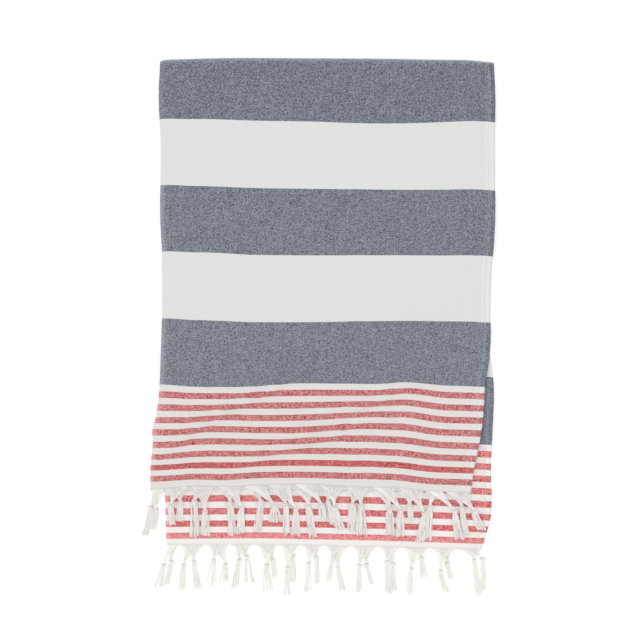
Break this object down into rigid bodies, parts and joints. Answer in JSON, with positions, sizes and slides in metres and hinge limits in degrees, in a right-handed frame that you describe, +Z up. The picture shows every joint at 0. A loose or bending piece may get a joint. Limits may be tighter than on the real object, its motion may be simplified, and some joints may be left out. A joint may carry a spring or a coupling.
{
  "type": "beach towel",
  "caption": "Flat-woven cotton beach towel, folded twice and lying flat, with cross stripes, side hems and a knotted fringe on both ends.",
  "frame": {"origin": "on the surface the towel lies on, at the middle of its outline", "axes": "+X towards the side hems, away from the long fold; +Y towards the crosswise fold, away from the fringes; +Z up from the surface"},
  "size_m": [0.5268, 0.8077, 0.0165],
  "materials": {
    "woven_cotton": "flat-woven cotton with navy, red and white cross stripes",
    "knotted_cotton": "off-white cotton warp ends, twisted and knotted"
  },
  "bodies": {
    "root": {"towel_cloth": "woven_cotton", "fringe_front": "knotted_cotton", "fringe_back": "knotted_cotton"}
  },
  "joints": []
}
